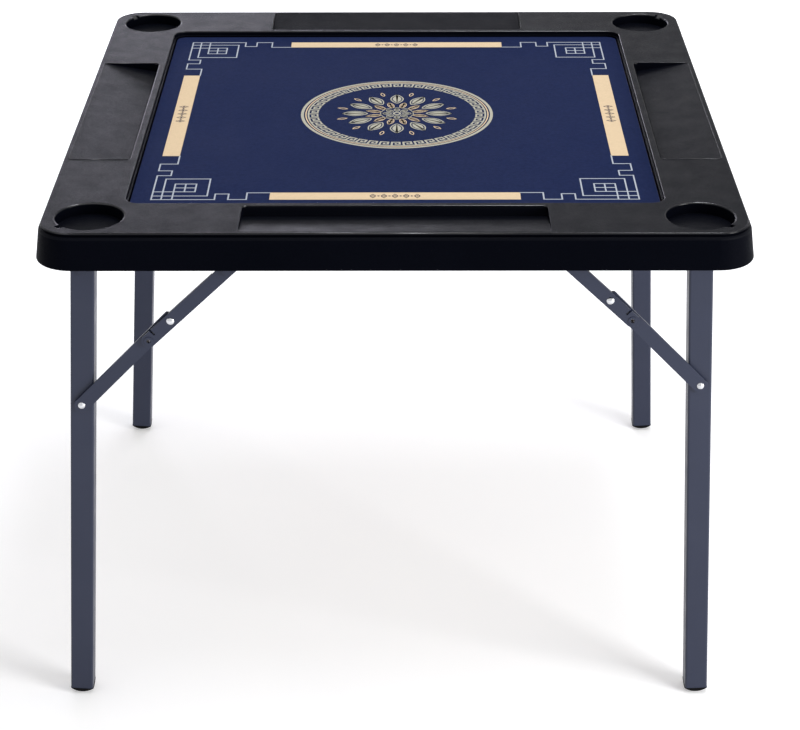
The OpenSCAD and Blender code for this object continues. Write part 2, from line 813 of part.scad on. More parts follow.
top_frame();
play_board();
play_mat();
board_screws();
hinge_bracket(RIGHT, FRONT);  // hinge_bracket_front_right
hinge_bracket(RIGHT, BACK);  // hinge_bracket_back_right
hinge_bracket(LEFT, FRONT);  // hinge_bracket_front_left
hinge_bracket(LEFT, BACK);  // hinge_bracket_back_left
anchor_bracket(RIGHT, FRONT);  // anchor_bracket_front_right
anchor_bracket(RIGHT, BACK);  // anchor_bracket_back_right
anchor_bracket(LEFT, FRONT);  // anchor_bracket_front_left
anchor_bracket(LEFT, BACK);  // anchor_bracket_back_left
bracket_screws();
hinge_washers();
hinge_pin(RIGHT, FRONT);  // hinge_pin_front_right
hinge_pin(RIGHT, BACK);  // hinge_pin_back_right
hinge_pin(LEFT, FRONT);  // hinge_pin_front_left
hinge_pin(LEFT, BACK);  // hinge_pin_back_left
anchor_pin(RIGHT, FRONT);  // anchor_pin_front_right
anchor_pin(RIGHT, BACK);  // anchor_pin_back_right
anchor_pin(LEFT, FRONT);  // anchor_pin_front_left
anchor_pin(LEFT, BACK);  // anchor_pin_back_left
leg(RIGHT, FRONT);  // leg_front_right
leg(RIGHT, BACK);  // leg_back_right
leg(LEFT, FRONT);  // leg_front_left
leg(LEFT, BACK);  // leg_back_left
foot_cap(RIGHT, FRONT);  // foot_cap_front_right
foot_cap(RIGHT, BACK);  // foot_cap_back_right
foot_cap(LEFT, FRONT);  // foot_cap_front_left
foot_cap(LEFT, BACK);  // foot_cap_back_left
lower_brace(RIGHT, FRONT);  // lower_brace_front_right
lower_brace(RIGHT, BACK);  // lower_brace_back_right
lower_brace(LEFT, FRONT);  // lower_brace_front_left
lower_brace(LEFT, BACK);  // lower_brace_back_left
upper_brace(RIGHT, FRONT);  // upper_brace_front_right
upper_brace(RIGHT, BACK);  // upper_brace_back_right
upper_brace(LEFT, FRONT);  // upper_brace_front_left
upper_brace(LEFT, BACK);  // upper_brace_back_left
leg_rivet(RIGHT, FRONT);  // leg_rivet_front_right
leg_rivet(RIGHT, BACK);  // leg_rivet_back_right
leg_rivet(LEFT, FRONT);  // leg_rivet_front_left
leg_rivet(LEFT, BACK);  // leg_rivet_back_left
knee_rivet(RIGHT, FRONT);  // knee_rivet_front_right
knee_rivet(RIGHT, BACK);  // knee_rivet_back_right
knee_rivet(LEFT, FRONT);  // knee_rivet_front_left
knee_rivet(LEFT, BACK);  // knee_rivet_back_left
knee_washer(RIGHT, FRONT);  // knee_washer_front_right
knee_washer(RIGHT, BACK);  // knee_washer_back_right
knee_washer(LEFT, FRONT);  // knee_washer_front_left
knee_washer(LEFT, BACK);  // knee_washer_back_left
catch_spring(RIGHT, FRONT);  // catch_spring_front_right
catch_spring(RIGHT, BACK);  // catch_spring_back_right
catch_spring(LEFT, FRONT);  // catch_spring_front_left
catch_spring(LEFT, BACK);  // catch_spring_back_left
spring_rivet(RIGHT, FRONT);  // spring_rivet_front_right
spring_rivet(RIGHT, BACK);  // spring_rivet_back_right
spring_rivet(LEFT, FRONT);  // spring_rivet_front_left
spring_rivet(LEFT, BACK);  // spring_rivet_back_left
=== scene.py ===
import json
import math

import bmesh
import bpy
from mathutils import Matrix, Vector


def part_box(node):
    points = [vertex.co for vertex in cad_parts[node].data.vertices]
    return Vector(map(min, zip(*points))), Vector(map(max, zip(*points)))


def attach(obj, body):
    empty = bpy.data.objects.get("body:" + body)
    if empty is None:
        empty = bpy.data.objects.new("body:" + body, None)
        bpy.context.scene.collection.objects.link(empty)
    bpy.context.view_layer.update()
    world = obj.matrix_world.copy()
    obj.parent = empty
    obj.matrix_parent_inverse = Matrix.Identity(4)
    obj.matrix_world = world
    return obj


MM = 0.001

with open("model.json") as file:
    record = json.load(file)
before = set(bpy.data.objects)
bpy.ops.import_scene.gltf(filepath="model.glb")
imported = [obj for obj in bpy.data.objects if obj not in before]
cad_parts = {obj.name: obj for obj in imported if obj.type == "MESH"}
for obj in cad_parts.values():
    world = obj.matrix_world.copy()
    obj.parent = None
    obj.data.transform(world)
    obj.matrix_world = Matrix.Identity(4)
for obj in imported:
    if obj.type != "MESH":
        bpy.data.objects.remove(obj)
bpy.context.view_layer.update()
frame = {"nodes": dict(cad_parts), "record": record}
nodes = frame["nodes"]

TABLE_TOP = "table_top"
MAT_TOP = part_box("play_mat")[1].z
RIM_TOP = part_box("top_frame")[1].z
# Thickness of the ink film that each print stands out of the cloth
FILM = 0.12 * MM
WHITE = (1.0, 1.0, 1.0)


# Node helpers

def link(tree, source, target):
    tree.links.new(source, target)


def node(tree, kind, **settings):
    made = tree.nodes.new(kind)
    for name, value in settings.items():
        setattr(made, name, value)
    return made


def feed(tree, value, target):
    """Gives an input a link, a colour, a vector or a number."""
    if isinstance(value, bpy.types.NodeSocket):
        link(tree, value, target)
    elif target.type == "RGBA":
        target.default_value = (*value, 1)
    else:
        target.default_value = value


def set_inputs(tree, made, **values):
    """Feeds a node's inputs by their names, with an underscore for each space."""
    for name, value in values.items():
        feed(tree, value, made.inputs[name.replace("_", " ")])


def math_node(tree, operation, a, b=None, clamp=False):
    made = node(tree, "ShaderNodeMath", operation=operation, use_clamp=clamp)
    feed(tree, a, made.inputs[0])
    if b is not None:
        feed(tree, b, made.inputs[1])
    return made.outputs[0]


def plus(tree, a, b, clamp=False):
    return math_node(tree, "ADD", a, b, clamp)


def times(tree, a, b):
    return math_node(tree, "MULTIPLY", a, b)


def rest_of(tree, share):
    """What a share leaves of one."""
    return math_node(tree, "SUBTRACT", 1.0, share)


def ramp(tree, value, low, high, start=0.0, end=1.0):
    """A value that runs from start to end while the given one runs from low to high."""
    made = node(tree, "ShaderNodeMapRange", clamp=True)
    set_inputs(tree, made, Value=value, From_Min=low, From_Max=high, To_Min=start, To_Max=end)
    return made.outputs["Result"]


def mix_colour(tree, factor, a, b):
    made = node(tree, "ShaderNodeMix", data_type="RGBA")
    for name, kind, value in (("Factor", "VALUE", factor), ("A", "RGBA", a), ("B", "RGBA", b)):
        feed(tree, value, next(s for s in made.inputs if s.name == name and s.type == kind))
    return next(s for s in made.outputs if s.type == "RGBA")


def split(tree, vector):
    """The X, Y and Z of a vector."""
    made = node(tree, "ShaderNodeSeparateXYZ")
    link(tree, vector, made.inputs[0])
    return made.outputs


def stretch(tree, vector, scale, turn=(0.0, 0.0, 0.0)):
    made = node(tree, "ShaderNodeMapping")
    set_inputs(tree, made, Vector=vector, Scale=scale, Rotation=turn)
    return made.outputs[0]


def noise(tree, vector, scale, detail=3.0, rough=0.5, output="Fac"):
    made = node(tree, "ShaderNodeTexNoise")
    set_inputs(tree, made, Vector=vector, Scale=scale, Detail=detail, Roughness=rough)
    return made.outputs[output]


# Surface effects that the materials share

def new_group(name, inputs, outputs):
    """An effect still to be filled. Besides a vector it takes the named values, and it puts out others."""
    tree = bpy.data.node_groups.new(name, "ShaderNodeTree")
    tree.interface.new_socket(name="Vector", in_out="INPUT", socket_type="NodeSocketVector")
    for label in inputs:
        tree.interface.new_socket(name=label, in_out="INPUT", socket_type="NodeSocketFloat")
    for label in outputs:
        tree.interface.new_socket(name=label, in_out="OUTPUT", socket_type="NodeSocketFloat")
    return tree, node(tree, "NodeGroupInput").outputs, node(tree, "NodeGroupOutput").inputs


def leather_grain_group():
    """Pebbled grain pressed into the moulding, with fine pores over it."""
    tree, given, out = new_group("leather_grain", ["Scale"], ["Height", "Crease"])
    shift = node(tree, "ShaderNodeVectorMath", operation="SCALE")
    link(tree, noise(tree, given["Vector"], 90.0, 2.0, output="Color"), shift.inputs[0])
    shift.inputs["Scale"].default_value = 0.004
    warped = node(tree, "ShaderNodeVectorMath", operation="ADD")
    link(tree, given["Vector"], warped.inputs[0])
    link(tree, shift.outputs[0], warped.inputs[1])
    cells = node(tree, "ShaderNodeTexVoronoi", feature="DISTANCE_TO_EDGE")
    set_inputs(tree, cells, Vector=warped.outputs[0], Scale=given["Scale"])
    pebble = ramp(tree, cells.outputs["Distance"], 0.0, 0.35)
    pores = noise(tree, given["Vector"], 2600.0, 2.0)
    link(tree, plus(tree, pebble, times(tree, pores, 0.35)), out["Height"])
    link(tree, rest_of(tree, pebble), out["Crease"])
    return tree


def rounded_edge_group():
    """A mask from the normal: the moulding's rounded edges, less where they face aside."""
    tree, given, out = new_group("rounded_edge", [], ["Edge"])
    facing = split(tree, given["Vector"])
    above_walls = ramp(tree, facing["Z"], 0.22, 0.40)
    level = ramp(tree, facing["Z"], 0.93, 0.975)
    aside = ramp(tree, math_node(tree, "ABSOLUTE", facing["X"]), 0.25, 0.45, 0.0, 0.75)
    rounded = times(tree, above_walls, rest_of(tree, level))
    link(tree, times(tree, rounded, rest_of(tree, aside)), out["Edge"])
    return tree


def weave_group():
    """Plain weave: threads over and under each other, seen on a level cloth."""
    tree, given, out = new_group("plain_weave", ["Threads"], ["Height", "Shade"])
    place = split(tree, given["Vector"])
    turns = times(tree, given["Threads"], math.pi)
    across, along = (math_node(tree, "SINE", times(tree, place[axis], turns)) for axis in ("X", "Y"))
    over = times(tree, across, along)
    slub = noise(tree, given["Vector"], 220.0, 2.0)
    link(tree, plus(tree, math_node(tree, "ABSOLUTE", over), times(tree, slub, 0.6)), out["Height"])
    link(tree, plus(tree, plus(tree, times(tree, over, 0.5), 0.5), slub), out["Shade"])
    return tree


def handling_group():
    """Dust in broad patches, smears that change the gloss, and fine scuffs."""
    tree, given, out = new_group("handling", ["Patch"], ["Dust", "Gloss", "Scuff"])
    broad = noise(tree, given["Vector"], given["Patch"], 4.0, 0.6)
    link(tree, ramp(tree, broad, 0.42, 0.72), out["Dust"])
    smears = noise(tree, given["Vector"], 38.0, 3.0, 0.55)
    link(tree, ramp(tree, smears, 0.3, 0.7), out["Gloss"])
    scratches = noise(tree, stretch(tree, given["Vector"], (1.0, 14.0, 5.0), (0.2, 0.4, 0.7)), 60.0, 2.0)
    link(tree, ramp(tree, scratches, 0.68, 0.74), out["Scuff"])
    return tree


def orange_peel_group():
    """Low ripples and specks of a baked powder coat."""
    tree, given, out = new_group("orange_peel", ["Scale"], ["Height", "Speck"])
    link(tree, noise(tree, given["Vector"], given["Scale"], 2.0, 0.45), out["Height"])
    specks = noise(tree, given["Vector"], 1900.0, 1.0)
    link(tree, ramp(tree, specks, 0.6, 0.75), out["Speck"])
    return tree


GRAIN = leather_grain_group()
EDGES = rounded_edge_group()
WEAVE = weave_group()
HANDLING = handling_group()
PEEL = orange_peel_group()


# Materials

def new_material(name):
    material = bpy.data.materials.new(name)
    material.use_nodes = True
    tree = material.node_tree
    place = node(tree, "ShaderNodeTexCoord").outputs["Object"]
    return material, tree, tree.nodes["Principled BSDF"], place


def group_node(tree, group, vector, **values):
    """A shared effect with a material's own values. Gives its outputs."""
    made = node(tree, "ShaderNodeGroup", node_tree=group)
    set_inputs(tree, made, Vector=vector, **values)
    return made.outputs


def tint(colour, factor, lift=0.0):
    return tuple(min(1, c * factor + lift) for c in colour)


def bump(tree, shader, height, strength, depth, edge=None):
    """Raised detail, over sharp edges that look rounded to a radius where one is given."""
    made = node(tree, "ShaderNodeBump")
    set_inputs(tree, made, Height=height, Strength=strength, Distance=depth)
    if edge is not None:
        soft = node(tree, "ShaderNodeBevel", samples=6)
        soft.inputs["Radius"].default_value = edge
        link(tree, soft.outputs[0], made.inputs["Normal"])
    link(tree, made.outputs[0], shader.inputs["Normal"])


# Roughness of the moulding's edges, where its grain runs out
EDGE_ROUGH = 0.2
# The edges shine only beside the upper face: from none to all between these heights
SHINE_FROM, SHINE_FULL = RIM_TOP - 4.2 * MM, RIM_TOP - 2.6 * MM


def polish_edges(tree, shader, place, coat_ior):
    """A smooth coat on the rounded edges beside the moulding's upper face."""
    facing = node(tree, "ShaderNodeNewGeometry").outputs["Normal"]
    rounded = group_node(tree, EDGES, facing)["Edge"]
    upper = ramp(tree, split(tree, place)["Z"], SHINE_FROM, SHINE_FULL)
    set_inputs(tree, shader, Coat_Weight=times(tree, rounded, upper), Coat_Roughness=EDGE_ROUGH,
               Coat_IOR=coat_ior)


def dull_walls(tree, shader, wall_specular, specular):
    """Upright walls mirror less than level faces."""
    facing = split(tree, node(tree, "ShaderNodeNewGeometry").outputs["Normal"])
    level = ramp(tree, facing["Z"], 0.18, 0.30, wall_specular, specular)
    link(tree, level, shader.inputs["Specular IOR Level"])


def moulded_plastic(name, colour, grain, depth, rough, edge, specular, coat_ior=None, wall_specular=None):
    """Grained plastic, with polished edges or dull walls where they are asked for."""
    material, tree, shader, place = new_material(name)
    pressed = group_node(tree, GRAIN, place, Scale=grain)
    hands = group_node(tree, HANDLING, place, Patch=5.0)
    dusted = mix_colour(tree, times(tree, hands["Dust"], 0.5), colour, tint(colour, 1.6, 0.001))
    # Painted shade: the grain's creases get a darker colour, standing in for the shade between the pebbles.
    base = mix_colour(tree, times(tree, pressed["Crease"], 0.7), dusted, tint(colour, 0.6))
    uneven = plus(tree, times(tree, hands["Gloss"], 0.09), times(tree, pressed["Crease"], 0.12))
    set_inputs(tree, shader, Base_Color=base, Roughness=plus(tree, uneven, rough),
               Specular_IOR_Level=specular)
    bump(tree, shader, pressed["Height"], 0.32, depth, edge)
    if coat_ior is not None:
        polish_edges(tree, shader, place, coat_ior)
    if wall_specular is not None:
        dull_walls(tree, shader, wall_specular, specular)
    return material


def powder_coat(name, colour, rough):
    """Baked powder with pale dust, specks and scuffs."""
    material, tree, shader, place = new_material(name)
    peel = group_node(tree, PEEL, place, Scale=750.0)
    hands = group_node(tree, HANDLING, place, Patch=9.0)
    base = colour
    for mask, share in ((hands["Dust"], 0.35), (peel["Speck"], 0.4), (hands["Scuff"], 0.3)):
        base = mix_colour(tree, times(tree, mask, share), base, tint(colour, 1.25, 0.004))
    uneven = times(tree, hands["Gloss"], 0.12)
    set_inputs(tree, shader, Base_Color=base, Roughness=plus(tree, uneven, rough),
               Specular_IOR_Level=0.32)
    bump(tree, shader, peel["Height"], 0.25, 0.25 * MM, 0.6 * MM)
    return material


def plated_steel(name, colour, rough):
    """Bright plating with a fine grain and darker, dusty patches."""
    material, tree, shader, place = new_material(name)
    hands = group_node(tree, HANDLING, place, Patch=60.0)
    grains = noise(tree, place, 900.0)
    base = mix_colour(tree, times(tree, hands["Dust"], 0.6), colour, tint(colour, 0.62))
    set_inputs(tree, shader, Base_Color=base, Roughness=plus(tree, times(tree, grains, 0.12), rough),
               Metallic=1.0)
    bump(tree, shader, grains, 0.2, 0.1 * MM, 0.3 * MM)
    return material


def woven_cloth(name, colour, shade):
    """Cloth, or ink on cloth, with the weave showing through."""
    material, tree, shader, place = new_material(name)
    weave = group_node(tree, WEAVE, place, Threads=1300.0)
    hands = group_node(tree, HANDLING, place, Patch=4.0)
    threads = mix_colour(tree, ramp(tree, weave["Shade"], 0.4, 1.5), tint(colour, 1 - shade),
                         tint(colour, 1 + shade, 0.002))
    dusted = mix_colour(tree, times(tree, hands["Dust"], 0.006), threads, (0.35, 0.36, 0.4))
    rough = plus(tree, times(tree, hands["Gloss"], 0.08), 0.74)
    set_inputs(tree, shader, Base_Color=dusted, Roughness=rough, Specular_IOR_Level=0.01, Sheen_Weight=0.004,
               Sheen_Roughness=0.4)
    bump(tree, shader, weave["Height"], 0.4, 0.12 * MM)
    return material


def fibre_board(name):
    """Bare fibreboard, streaked and mottled."""
    material, tree, shader, place = new_material(name)
    strands = noise(tree, stretch(tree, place, (1.0, 5.0, 1.0)), 160.0, 6.0, 0.65)
    cloudy = ramp(tree, noise(tree, place, 7.0), 0.4, 0.7, 0.0, 0.3)
    streaked = mix_colour(tree, ramp(tree, strands, 0.35, 0.7), (0.30, 0.20, 0.115), (0.47, 0.34, 0.21))
    mottled = mix_colour(tree, cloudy, streaked, (0.24, 0.16, 0.10))
    set_inputs(tree, shader, Base_Color=mottled, Roughness=plus(tree, times(tree, strands, 0.2), 0.6))
    bump(tree, shader, strands, 0.3, 0.2 * MM)
    return material


MOULDING_BLACK = (0.0015, 0.0019, 0.0042)
BLACK_ABS = moulded_plastic("black_moulding", MOULDING_BLACK, grain=620.0, depth=0.35 * MM, rough=0.36,
                            edge=1.4 * MM, specular=0.040, coat_ior=1.5, wall_specular=0.012)
WORN_ABS = moulded_plastic("rubbed_moulding", MOULDING_BLACK, grain=620.0, depth=0.2 * MM, rough=0.30,
                           edge=1.4 * MM, specular=0.040, coat_ior=1.8)
CAP_BLACK = moulded_plastic("foot_plastic", (0.004, 0.004, 0.005), grain=900.0, depth=0.2 * MM, rough=0.45,
                            edge=0.6 * MM, specular=0.08)
NYLON = moulded_plastic("natural_nylon", (0.62, 0.61, 0.56), grain=900.0, depth=0.1 * MM, rough=0.4,
                        edge=0.3 * MM, specular=0.4)
CHARCOAL = powder_coat("charcoal_powder_coat", (0.021, 0.0265, 0.052), rough=0.34)
BLUED = powder_coat("blued_spring_steel", (0.02, 0.022, 0.03), rough=0.35)
ZINC = plated_steel("zinc_plate", (0.62, 0.63, 0.66), rough=0.08)
NAVY = woven_cloth("navy_cloth", (0.0099, 0.0165, 0.0550), shade=0.28)
GOLD = woven_cloth("gold_print", (0.645, 0.495, 0.318), shade=0.08)
CREAM = woven_cloth("cream_print", (0.40, 0.385, 0.31), shade=0.10)
PALE = woven_cloth("pale_line_print", (0.39, 0.42, 0.465), shade=0.08)
NAVY_INK = woven_cloth("navy_ink", (0.010, 0.014, 0.045), shade=0.1)
BOARD = fibre_board("fibre_board")

FINISHES = {
    "frame_plastic": BLACK_ABS, "board": BOARD, "mat": NAVY, "charcoal_steel": CHARCOAL,
    "spring_steel": BLUED, "zinc": ZINC, "washer_nylon": NYLON, "cap_plastic": CAP_BLACK,
}
for entry in frame["record"]["subparts"]:
    finish = FINISHES[entry["material_slot"]]
    mesh = nodes[entry["node"]].data
    if not mesh.materials:
        mesh.materials.append(finish)
    for index in range(len(mesh.materials)):
        mesh.materials[index] = finish


# Shapes drawn in millimetres, from the middle of the table

SIDE_TURNS = {"back": 0, "left": 90, "front": 180, "right": 270}


def add_piece(name, bm, material, body):
    bmesh.ops.recalc_face_normals(bm, faces=bm.faces)
    mesh = bpy.data.meshes.new(name)
    bm.to_mesh(mesh)
    bm.free()
    mesh.materials.append(material)
    piece = bpy.data.objects.new(name, mesh)
    bpy.context.scene.collection.objects.link(piece)
    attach(piece, body)


def everything(bm):
    return bm.verts[:] + bm.edges[:] + bm.faces[:]


def turn_about_middle(bm, degrees):
    turn = Matrix.Rotation(math.radians(degrees), 3, "Z")
    bmesh.ops.rotate(bm, verts=bm.verts, cent=(0, 0, 0), matrix=turn)


def repeat_round(bm, count, centre):
    """Copies what is drawn until it fills a full turn."""
    bmesh.ops.spin(bm, geom=everything(bm), cent=centre, axis=(0, 0, 1),
                   angle=math.tau * (count - 1) / count, steps=count - 1, use_duplicate=True)


def print_on_mat(name, bm, material, low=0.0, high=1.0):
    """Gives a flat drawing its thickness as ink, from one height to another, in parts of the film's."""
    bmesh.ops.scale(bm, verts=bm.verts, vec=(MM, MM, 1))
    bmesh.ops.translate(bm, verts=bm.verts, vec=(0, 0, MAT_TOP + FILM * low))
    made = bmesh.ops.extrude_face_region(bm, geom=bm.faces[:])
    upper = [item for item in made["geom"] if isinstance(item, bmesh.types.BMVert)]
    bmesh.ops.translate(bm, verts=upper, vec=(0, 0, FILM * (high - low)))
    add_piece(name, bm, material, TABLE_TOP)


def fill_strips(strips):
    """A sheet cut down to the union of level strips, each (low x, low y, high x, high y)."""
    bm = bmesh.new()
    lows = [min(s[axis] for s in strips) for axis in (0, 1)]
    highs = [max(s[axis + 2] for s in strips) for axis in (0, 1)]
    middle = Matrix.Translation([(a + b) / 2 for a, b in zip(lows, highs)] + [0])
    size = Matrix.Diagonal([(b - a) / 2 for a, b in zip(lows, highs)] + [1, 1])
    bmesh.ops.create_grid(bm, x_segments=1, y_segments=1, size=1, matrix=middle @ size)
    for axis, across in enumerate((Vector((1, 0, 0)), Vector((0, 1, 0)))):
        for cut in sorted({round(s[axis + end], 3) for s in strips for end in (0, 2)}):
            if lows[axis] + 0.01 < cut < highs[axis] - 0.01:
                bmesh.ops.bisect_plane(bm, geom=everything(bm), dist=1e-4, plane_co=across * cut,
                                       plane_no=across)
    bare = []
    for face in bm.faces:
        c = face.calc_center_median()
        if not any(s[0] < c.x < s[2] and s[1] < c.y < s[3] for s in strips):
            bare.append(face)
    bmesh.ops.delete(bm, geom=bare, context="FACES")
    return bm


# Stepped border and corner figures of the mat

LINE = 1.9
OUTER = 306.5
BAR_IN, BAR_OUT, BAR_END = 284.0, 307.0, 158.0
# Run of the border from one bar, round the corner, to the next bar
STEPPED_BORDER = [
    (BAR_IN, BAR_END), (BAR_IN, 186.5), (OUTER, 186.5), (OUTER, 210), (289, 210), (289, 226.8),
    (OUTER, 226.8), (OUTER, OUTER), (227, OUTER), (227, 288.3), (210, 288.3), (210, OUTER), (187, OUTER),
    (187, 284.5), (BAR_END, 284.5),
]
CORNER_SQUARE = [
    [(294, OUTER), (294, 238), (237, 238), (237, 294.7), (OUTER, 294.7)],
    [(280.5, OUTER), (280.5, 255), (253.5, 255), (253.5, 281), (OUTER, 281)],
    [(267, 255), (267, 281)], [(253.5, 268), (280.5, 268)],
]


def line_strips(points):
    """The strips that a printed line covers, one for each of its straight runs."""
    half = LINE / 2
    strips = []
    for (x0, y0), (x1, y1) in zip(points, points[1:]):
        strips.append((min(x0, x1) - half, min(y0, y1) - half, max(x0, x1) + half, max(y0, y1) + half))
    return strips


def corner_fret(name, x_sign, y_sign):
    strips = [strip for run in [STEPPED_BORDER, *CORNER_SQUARE] for strip in line_strips(run)]
    bm = fill_strips(strips)
    bmesh.ops.scale(bm, verts=bm.verts, vec=(x_sign, y_sign, 1))
    print_on_mat(name, bm, PALE)


for side, x_sign in (("right", 1), ("left", -1)):
    for row, y_sign in (("front", -1), ("back", 1)):
        corner_fret("mat_fret_" + row + "_" + side, x_sign, y_sign)


# Rounded edges of the moulding: a low bead round the two ends and the shallow side of three trays, one
# along the rim's front edge, and one in front of the front tray

TRAY_HALF, TRAY_DEEP, TRAY_SHALLOW, TRAY_BEND = 189.0, 348.0, 425.0, 5.0
RIM_HALF, RIM_CORNER = 432.0, 40.0
# Half width and height of each bead
TRAY_BEAD = (0.8, 0.4)
RIM_BEAD = (1.3, 0.65)
RUBBED_BEAD = (1.5, 0.75)
BEAD_FACETS = 12


def start_bead(bm, x, y, bead):
    """The open ring that a bead starts from, where it runs to the back."""
    shape = Matrix.Translation((x, y, 0)) @ Matrix.Rotation(math.pi / 2, 4, "X")
    shape = shape @ Matrix.Diagonal((bead[0], bead[1], 1, 1))
    bmesh.ops.create_circle(bm, cap_ends=False, segments=BEAD_FACETS, radius=1.0, matrix=shape)
    return bm.edges[:]


def carry_ring(bm, ring, along):
    """Draws an open ring of edges out along a straight line, and gives the ring at its end."""
    made = bmesh.ops.extrude_edge_only(bm, edges=ring)["geom"]
    moved = [item for item in made if isinstance(item, bmesh.types.BMVert)]
    bmesh.ops.translate(bm, verts=moved, vec=along)
    edges = [item for item in made if isinstance(item, bmesh.types.BMEdge)]
    return [edge for edge in edges if all(v in moved for v in edge.verts)]


def bend_ring(bm, ring, centre, steps=6):
    """Draws an open ring of edges round a quarter turn to the left, and gives the ring at its end."""
    ends = list({v for edge in ring for v in edge.verts})
    made = bmesh.ops.spin(bm, geom=ring + ends, cent=centre, axis=(0, 0, 1), angle=math.pi / 2, steps=steps)
    return [item for item in made["geom_last"] if isinstance(item, bmesh.types.BMEdge)]


def seat_bead(name, bm, material=BLACK_ABS):
    """Closes the ends of a bead and sets it at the rim's height."""
    bmesh.ops.remove_doubles(bm, verts=bm.verts, dist=0.01)
    bmesh.ops.holes_fill(bm, edges=[e for e in bm.edges if e.is_boundary], sides=BEAD_FACETS)
    bmesh.ops.scale(bm, verts=bm.verts, vec=(MM, MM, MM))
    bmesh.ops.translate(bm, verts=bm.verts, vec=(0, 0, RIM_TOP))
    for face in bm.faces:
        face.smooth = len(face.verts) == 4
    add_piece(name, bm, material, TABLE_TOP)


def front_bead(name, half, bead, material=BLACK_ABS, corner=False):
    """A bead along the rim's front edge, drawn on its right edge and turned to the front."""
    bm = bmesh.new()
    ring = start_bead(bm, RIM_HALF - RIM_BEAD[0], -half, bead)
    ring = carry_ring(bm, ring, (0, 2 * half, 0))
    if corner:
        bend_ring(bm, ring, (half, half, 0), steps=24)
    turn_about_middle(bm, -90)
    seat_bead(name, bm, material)


def tray_edge(side):
    bm = bmesh.new()
    out = TRAY_HALF + TRAY_BEAD[0]
    turn_x, turn_y = out - TRAY_BEND, TRAY_SHALLOW + TRAY_BEAD[0] - TRAY_BEND
    ring = start_bead(bm, out, TRAY_DEEP, TRAY_BEAD)
    ring = carry_ring(bm, ring, (0, turn_y - TRAY_DEEP, 0))
    ring = bend_ring(bm, ring, (turn_x, turn_y, 0))
    ring = carry_ring(bm, ring, (-2 * turn_x, 0, 0))
    ring = bend_ring(bm, ring, (-turn_x, turn_y, 0))
    carry_ring(bm, ring, (0, TRAY_DEEP - turn_y, 0))
    turn_about_middle(bm, SIDE_TURNS[side])
    seat_bead("tray_edge_" + side, bm)


front_bead("rim_edge", RIM_HALF - RIM_CORNER, RIM_BEAD, corner=True)
front_bead("tray_edge_front", TRAY_HALF, RUBBED_BEAD, WORN_ABS)
for side in ("back", "left", "right"):
    tray_edge(side)


# Gold bars of the mat, with a row of plain marks on each

MARK_STEP = 14.0
LOZENGE, LOZENGE_NARROW, LOZENGE_LINE = 7.0, 0.62, 1.7
DOT = 1.5


def seat_bar(side):
    bm = fill_strips([(-BAR_END, BAR_IN, BAR_END, BAR_OUT)])
    turn_about_middle(bm, SIDE_TURNS[side])
    print_on_mat("mat_bar_" + side, bm, GOLD)


def bar_marks(side):
    """Five outlined lozenges, with a dot in each and one between each two."""
    bm = bmesh.new()
    middle = (BAR_IN + BAR_OUT) / 2
    for place in range(-2, 3):
        at = Matrix.Translation((place * MARK_STEP, middle, 0)) @ Matrix.Diagonal((LOZENGE_NARROW, 1, 1, 1))
        made = bmesh.ops.create_circle(bm, cap_ends=True, segments=4, radius=LOZENGE, matrix=at)
        face = made["verts"][0].link_faces[0]
        bmesh.ops.inset_individual(bm, faces=[face], thickness=LOZENGE_LINE)
        bmesh.ops.delete(bm, geom=[face], context="FACES_ONLY")
    for place in range(-4, 5):
        at = Matrix.Translation((place * MARK_STEP / 2, middle, 0))
        bmesh.ops.create_circle(bm, cap_ends=True, segments=12, radius=DOT, matrix=at)
    turn_about_middle(bm, SIDE_TURNS[side])
    print_on_mat("mat_bar_marks_" + side, bm, NAVY_INK, low=0.5, high=1.4)


for side in SIDE_TURNS:
    seat_bar(side)
    bar_marks(side)


# Ring and rosette in the middle of the mat

RING_CENTRE = Vector((1.5, 1.0, 0))
KEYS = 46
KEY_LOW, KEY_HIGH = 108.6, 123.4
# One unit of a square key pattern, on a width of ten and a height of twelve
UNIT_WIDE, UNIT_HIGH = 10.0, 12.0
KEY_UNIT = [
    (0, 10.1, 10, 12), (0, 0, 1.7, 12), (0, 0, 8.4, 1.9), (6.7, 0, 8.4, 7.9), (3.3, 6.0, 8.4, 7.9),
    (3.3, 3.9, 5.0, 7.9),
]


def finish_ring(name, bm, material):
    bmesh.ops.remove_doubles(bm, verts=bm.verts, dist=1e-4)
    print_on_mat(name, bm, material)


def plain_rings(name, material, *bands):
    """Level rings, each (inner, outer, segments), spun from one short line across the ring."""
    bm = bmesh.new()
    for inner, outer, segments in bands:
        ends = [bm.verts.new(RING_CENTRE + Vector((reach, 0, 0))) for reach in (inner, outer)]
        bmesh.ops.spin(bm, geom=[*ends, bm.edges.new(ends)], cent=RING_CENTRE, axis=(0, 0, 1),
                       angle=math.tau, steps=segments, use_merge=True)
    finish_ring(name, bm, material)


def key_ring():
    """One unit of the key pattern bent to the ring, then repeated round it."""
    bm = fill_strips(KEY_UNIT)
    for vert in bm.verts:
        angle = vert.co.x / UNIT_WIDE * math.tau / KEYS
        reach = KEY_LOW + (KEY_HIGH - KEY_LOW) * vert.co.y / UNIT_HIGH
        vert.co = RING_CENTRE + Vector((reach * math.cos(angle), reach * math.sin(angle), 0))
    repeat_round(bm, KEYS, RING_CENTRE)
    finish_ring("mat_ring_key", bm, CREAM)


